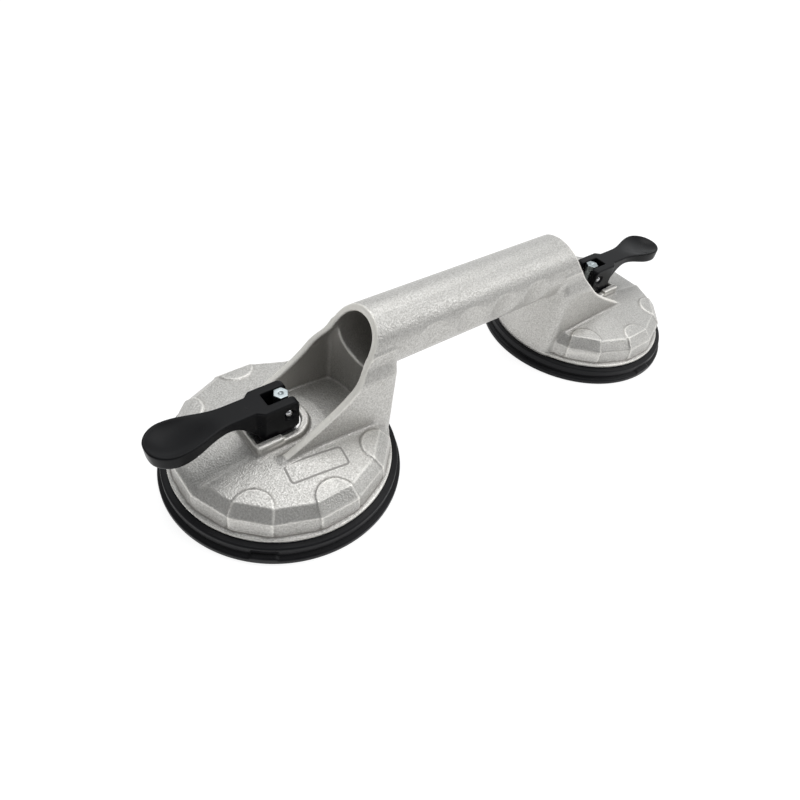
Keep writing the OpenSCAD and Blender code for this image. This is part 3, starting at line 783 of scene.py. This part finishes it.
def cast_aluminium():
    """Grit-blasted die casting: fine sparkle, trimmed edges bright, painted shade darkening the
    hollows and creases, and painted highlights on ridges.
    """
    m = Nodes("cast_aluminium")
    cloud = m.noise(90, 3)
    grit = m.noise(1300, 2.5)
    base = m.mix(cloud, (0.42, 0.41, 0.39), (0.50, 0.49, 0.465))
    base = m.mix(m.span(grit, 0.35, 0.7, 0, 1), base, (0.66, 0.65, 0.625))
    # Painted shade: the pocket and bore turn a plain, slightly darker grey
    base = m.mix(m.mark("inside"), base, (0.52, 0.505, 0.48))
    # Painted shade in concave creases
    base = m.mix(m.mark("crease_painted_shade"), base, (0.32, 0.30, 0.28))
    # Painted highlight on convex ridges
    base = m.mix(m.mark("ridge_painted_highlight"), base, (0.95, 0.93, 0.88))
    base = m.mix(m.mark("trimmed"), base, (0.97, 0.945, 0.88))
    m.set(Base_Color=base, Metallic=m.span(m.mark("trimmed"), 0, 1, 0.72, 0.25),
          Roughness=m.span(grit, 0.3, 0.75, 0.5, 0.32))
    m.bump(m.math("ADD", grit, m.math("MULTIPLY", cloud, 0.6)), 0.6, 0.0004)
    return m.material


def black_rubber():
    m = Nodes("black_rubber")
    cloud = m.noise(160, 4)
    m.set(Base_Color=m.mix(cloud, (0.006, 0.006, 0.007), (0.016, 0.016, 0.018)),
          Roughness=m.span(cloud, 0.3, 0.7, 0.34, 0.48), Specular_IOR_Level=0.15)
    m.bump(m.noise(1800, 2), 0.12, 0.0001)
    return m.material


def lever_plastic():
    m = Nodes("lever_plastic")
    cloud = m.noise(120, 3)
    m.set(Base_Color=m.mix(cloud, (0.003, 0.0031, 0.0036), (0.008, 0.0083, 0.0095)),
          Roughness=m.span(cloud, 0.3, 0.7, 0.26, 0.36), Specular_IOR_Level=0.13)
    m.bump(m.noise(2400, 2), 0.10, 0.0001)
    return m.material


def metal(name, low, high, roughness, grain, strength):
    """A metal with a fine grain: low and high are the colours that it wanders between."""
    m = Nodes(name)
    fine = m.noise(grain, 3)
    m.set(Base_Color=m.mix(fine, low, high), Metallic=1.0,
          Roughness=m.span(fine, 0.3, 0.7, roughness - 0.05, roughness + 0.07))
    m.bump(fine, strength, 0.00005)
    return m.material


def bush_plastic():
    m = Nodes("bush_plastic")
    cloud = m.noise(200, 3)
    m.set(Base_Color=m.mix(cloud, (0.62, 0.60, 0.54), (0.74, 0.72, 0.66)), Roughness=0.4,
          Subsurface_Weight=0.05)
    m.bump(m.noise(1500, 2), 0.1, 0.0001)
    return m.material


def badge_line():
    """Dark etched line."""
    m = Nodes("badge_line")
    m.set(Base_Color=m.mix(m.noise(1500, 2), (0.26, 0.25, 0.24), (0.42, 0.41, 0.39)),
          Metallic=0.6, Roughness=0.6)
    return m.material


MATERIALS = {
    "cast_aluminium": cast_aluminium(),
    "badge_line": badge_line(),
    "black_rubber": black_rubber(),
    "lever_plastic": lever_plastic(),
    "zinc_steel": metal("zinc_steel", (0.30, 0.34, 0.35), (0.50, 0.55, 0.56), 0.3, 900, 0.5),
    "polished_steel": metal("polished_steel", (0.52, 0.52, 0.53), (0.68, 0.68, 0.69), 0.12, 700,
                            0.05),
    "stainless_steel": metal("stainless_steel", (0.52, 0.51, 0.5), (0.66, 0.65, 0.64), 0.3, 1400,
                             0.2),
    "spring_steel": metal("spring_steel", (0.36, 0.35, 0.34), (0.5, 0.49, 0.48), 0.32, 1100, 0.2),
    "brass": metal("brass", (0.62, 0.45, 0.2), (0.76, 0.58, 0.3), 0.28, 1000, 0.15),
    "bush_plastic": bush_plastic(),
}


def finish_cad_nodes():
    """Give each CAD node that stays the material of its slot in the record."""
    for part in frame["record"]["subparts"]:
        materials = frame["nodes"][part["node"]].data.materials
        materials.clear()
        materials.append(MATERIALS[part["material_slot"]])


def paint(obj, slot):
    """Give a piece the material named by slot."""
    obj.data.materials.clear()
    obj.data.materials.append(MATERIALS[slot])


# ---- Studio ----

EYE = Vector((-207.2, -176.2, 248.3)) * MM
LOOK_YAW, LOOK_DOWN, LOOK_ROLL = 45.77, 44.93, 9.36
LENS, SENSOR = 28.08, 36.0
WORLD_BRIGHT_WAY, WORLD_BRIGHT, WORLD_DIM = (0.62, 0.36, 0.70), 0.85, 0.22
WORLD_FROM, WORLD_TO, WORLD_TINT = 0.1, 0.8, (0.97, 0.985, 1, 1)
FLOOR_HALF, FLOOR_GREY, FLOOR_GLOW = 6000, 0.3, 0.86
LIGHT_TARGET = (0, 0, 0.03)

# Soft boxes: name, place and width in metres, power in watts
SOFT_BOXES = [("side", (0.67, -0.6, 0.78), 0.5, 2.3), ("overhead", (0.3, 0.35, 1.2), 0.9, 4.6)]


def make_camera():
    """The photograph's viewpoint: yaw from +X, angle below the horizon, and roll."""
    yaw, down, roll = (math.radians(a) for a in (LOOK_YAW, LOOK_DOWN, LOOK_ROLL))
    ahead = Vector((math.cos(yaw) * math.cos(down), math.sin(yaw) * math.cos(down),
                    -math.sin(down)))
    level = Vector((math.sin(yaw), -math.cos(yaw), 0))
    up = level.cross(ahead)
    right = math.cos(roll) * level + math.sin(roll) * up
    up = -math.sin(roll) * level + math.cos(roll) * up
    camera = bpy.data.objects.new("camera", bpy.data.cameras.new("camera"))
    camera.data.lens = LENS
    camera.data.sensor_width = SENSOR
    camera.data.clip_start = 0.01
    turn = Matrix((right, up, -ahead)).transposed().to_4x4()
    camera.matrix_world = Matrix.Translation(EYE) @ turn
    bpy.context.scene.collection.objects.link(camera)
    bpy.context.scene.camera = camera


def make_light(name, place, target, size, power):
    """A square soft box at place, facing target; lengths in metres."""
    lamp = bpy.data.lights.new(name, "AREA")
    lamp.size = size
    lamp.energy = power
    obj = bpy.data.objects.new(name, lamp)
    obj.location = place
    obj.rotation_euler = (Vector(target) - Vector(place)).to_track_quat("-Z", "Y").to_euler()
    bpy.context.scene.collection.objects.link(obj)


def make_floor():
    """A floor that looks white by its own glow, so that shadows on it stay faint."""
    h = FLOOR_HALF
    floor = new_object("studio_floor", [(-h, -h, 0), (h, -h, 0), (h, h, 0), (-h, h, 0)],
                       [(0, 1, 2, 3)], smooth=False)
    m = Nodes("studio_floor")
    m.set(Base_Color=(FLOOR_GREY,) * 3, Roughness=0.9, Emission_Color=(1, 1, 1),
          Emission_Strength=FLOOR_GLOW, Specular_IOR_Level=0.0)
    floor.data.materials.append(m.material)


def make_world():
    """Grey surroundings that are lighter overhead and on the side away from the camera."""
    world = bpy.data.worlds.new("studio")
    bpy.context.scene.world = world
    world.use_nodes = True
    tree = world.node_tree
    way = tree.nodes.new("ShaderNodeTexCoord").outputs["Generated"]
    facing = tree.nodes.new("ShaderNodeVectorMath")
    facing.operation = "DOT_PRODUCT"
    facing.inputs[1].default_value = WORLD_BRIGHT_WAY
    tree.links.new(way, facing.inputs[0])
    shade = tree.nodes.new("ShaderNodeMapRange")
    shade.interpolation_type = "SMOOTHSTEP"
    for key, value in (("From Min", WORLD_FROM), ("From Max", WORLD_TO), ("To Min", WORLD_DIM),
                       ("To Max", WORLD_BRIGHT)):
        shade.inputs[key].default_value = value
    tree.links.new(facing.outputs["Value"], shade.inputs["Value"])
    background = tree.nodes["Background"]
    background.inputs["Color"].default_value = WORLD_TINT
    tree.links.new(shade.outputs["Result"], background.inputs["Strength"])


def make_studio():
    make_camera()
    make_floor()
    make_world()
    for name, spot, size, power in SOFT_BOXES:
        make_light(name, spot, LIGHT_TARGET, size, power)
    bpy.context.scene.view_settings.view_transform = "Standard"


def place(obj, slot, body, *nodes):
    """Paint a piece, let it ride on a body, and let it stand for CAD nodes."""
    paint(obj, slot)
    if body:
        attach(obj, body)
    if nodes:
        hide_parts(*nodes)


def assemble():
    """Build every piece and tie it to its body and to the CAD nodes that it stands for."""
    place(make_casting(), "cast_aluminium", "body", "body_casting")
    place(make_badge(), "badge_line", "body")
    levers, bolts = make_levers(), make_bolts()
    for side, centre_x in (("left", -CUP_X), ("right", CUP_X)):
        plunger = "plunger_" + side
        place(levers[side], "lever_plastic", "lever_arm_" + side, "lever_" + side)
        place(bolts[side], "zinc_steel", plunger, "pull_bolt_" + side)
        place(make_pin(side, centre_x), "polished_steel", plunger, "pivot_pin_" + side)
        ring, middle = make_pad(side, centre_x)
        place(ring, "black_rubber", "body", "suction_pad_" + side)
        place(middle, "black_rubber", None)
        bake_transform(middle)
        spring = make_spring(side, centre_x)
        place(spring, "spring_steel", None, "release_spring_" + side)
        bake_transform(spring)


finish_cad_nodes()
assemble()
make_studio()
